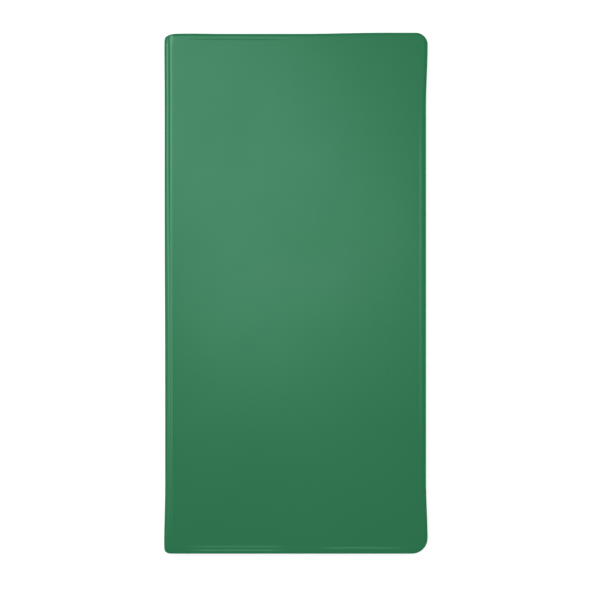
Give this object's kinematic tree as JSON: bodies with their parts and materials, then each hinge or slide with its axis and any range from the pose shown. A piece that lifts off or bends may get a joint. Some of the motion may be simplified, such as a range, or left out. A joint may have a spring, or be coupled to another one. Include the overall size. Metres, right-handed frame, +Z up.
{
  "type": "stamp album",
  "caption": "Slim portrait stamp stockbook with a soft welded vinyl cover, hinged spine, black card leaves with clear film strips and glassine interleaves.",
  "frame": {"origin": "middle of the underside, where the closed album's back cover rests", "axes": "+X to the fore edge, +Y to the head of the album, +Z up out of the front cover"},
  "size_m": [0.124, 0.245, 0.0122],
  "materials": {
    "skin": "satin soft vinyl, fine calender grain",
    "liner": "satin vinyl",
    "board": "raw greyboard",
    "card": "smooth black card",
    "film": "clear glossy film",
    "cloth": "black linen tape",
    "glassine": "smooth translucent glassine",
    "binding": "black mull cloth strip"
  },
  "bodies": {
    "back_cover": {"back_skin": "skin", "back_board": "board", "back_liner": "liner"},
    "spine": {"spine_skin": "skin", "spine_board": "board", "spine_liner": "liner", "binding_strip": "binding", "leaf_guards": "cloth"},
    "front_cover": {"front_skin": "skin", "front_board": "board", "front_liner": "liner"},
    "leaf_1": {"leaf_1_card": "card", "leaf_1_strips_front": "film", "leaf_1_strips_back": "film", "leaf_1_cloth": "cloth"},
    "leaf_2": {"leaf_2_card": "card", "leaf_2_strips_front": "film", "leaf_2_strips_back": "film", "leaf_2_cloth": "cloth"},
    "leaf_3": {"leaf_3_card": "card", "leaf_3_strips_front": "film", "leaf_3_strips_back": "film", "leaf_3_cloth": "cloth"},
    "leaf_4": {"leaf_4_card": "card", "leaf_4_strips_front": "film", "leaf_4_strips_back": "film", "leaf_4_cloth": "cloth"},
    "leaf_5": {"leaf_5_card": "card", "leaf_5_strips_front": "film", "leaf_5_strips_back": "film", "leaf_5_cloth": "cloth"},
    "leaf_6": {"leaf_6_card": "card", "leaf_6_strips_front": "film", "leaf_6_strips_back": "film", "leaf_6_cloth": "cloth"},
    "interleaf_1": {"interleaf_1": "glassine"},
    "interleaf_2": {"interleaf_2": "glassine"},
    "interleaf_3": {"interleaf_3": "glassine"},
    "interleaf_4": {"interleaf_4": "glassine"},
    "interleaf_5": {"interleaf_5": "glassine"}
  },
  "joints": [
    {"name": "spine_hinge", "type": "hinge", "parent": "back_cover", "child": "spine", "pos_m": [-0.0609, 0, 0.0011], "axis": [0, -1, 0], "range_deg": [0, 90]},
    {"name": "front_cover_hinge", "type": "hinge", "parent": "spine", "child": "front_cover", "pos_m": [-0.0609, 0, 0.0111], "axis": [0, -1, 0], "range_deg": [0, 90]},
    {"name": "leaf_1_turn", "type": "hinge", "parent": "spine", "child": "leaf_1", "pos_m": [-0.05967, 0, 0.00988], "axis": [0, -1, 0], "range_deg": [0, 90]},
    {"name": "interleaf_1_turn", "type": "hinge", "parent": "spine", "child": "interleaf_1", "pos_m": [-0.05922, 0, 0.00942], "axis": [0, -1, 0], "range_deg": [0, 90]},
    {"name": "leaf_2_turn", "type": "hinge", "parent": "spine", "child": "leaf_2", "pos_m": [-0.05876, 0, 0.00897], "axis": [0, -1, 0], "range_deg": [0, 90]},
    {"name": "interleaf_2_turn", "type": "hinge", "parent": "spine", "child": "interleaf_2", "pos_m": [-0.05831, 0, 0.00851], "axis": [0, -1, 0], "range_deg": [0, 90]},
    {"name": "leaf_3_turn", "type": "hinge", "parent": "spine", "child": "leaf_3", "pos_m": [-0.05785, 0, 0.00805], "axis": [0, -1, 0], "range_deg": [0, 90]},
    {"name": "leaf_6_turn", "type": "hinge", "parent": "spine", "child": "leaf_6", "pos_m": [-0.05967, 0, 0.00232], "axis": [0, -1, 0], "range_deg": [-90, 0]},
    {"name": "interleaf_5_turn", "type": "hinge", "parent": "spine", "child": "interleaf_5", "pos_m": [-0.05922, 0, 0.00278], "axis": [0, -1, 0], "range_deg": [-90, 0]},
    {"name": "leaf_5_turn", "type": "hinge", "parent": "spine", "child": "leaf_5", "pos_m": [-0.05876, 0, 0.00324], "axis": [0, -1, 0], "range_deg": [-90, 0]},
    {"name": "interleaf_4_turn", "type": "hinge", "parent": "spine", "child": "interleaf_4", "pos_m": [-0.05831, 0, 0.00369], "axis": [0, -1, 0], "range_deg": [-90, 0]},
    {"name": "leaf_4_turn", "type": "hinge", "parent": "spine", "child": "leaf_4", "pos_m": [-0.05785, 0, 0.00415], "axis": [0, -1, 0], "range_deg": [-90, 0]},
    {"name": "interleaf_3_turn", "type": "hinge", "parent": "spine", "child": "interleaf_3", "pos_m": [-0.0574, 0, 0.0046], "axis": [0, -1, 0], "range_deg": [-90, 0]}
  ],
  "couplings": [
    {"joint": "leaf_1_turn", "follows": "front_cover_hinge", "ratio": 0.985},
    {"joint": "interleaf_1_turn", "follows": "front_cover_hinge", "ratio": 0.9775},
    {"joint": "leaf_2_turn", "follows": "front_cover_hinge", "ratio": 0.97},
    {"joint": "interleaf_2_turn", "follows": "front_cover_hinge", "ratio": 0.9625},
    {"joint": "leaf_3_turn", "follows": "front_cover_hinge", "ratio": 0.955},
    {"joint": "leaf_6_turn", "follows": "spine_hinge", "ratio": -0.985},
    {"joint": "interleaf_5_turn", "follows": "spine_hinge", "ratio": -0.9775},
    {"joint": "leaf_5_turn", "follows": "spine_hinge", "ratio": -0.97},
    {"joint": "interleaf_4_turn", "follows": "spine_hinge", "ratio": -0.9625},
    {"joint": "leaf_4_turn", "follows": "spine_hinge", "ratio": -0.955},
    {"joint": "interleaf_3_turn", "follows": "spine_hinge", "ratio": -0.9475}
  ]
}
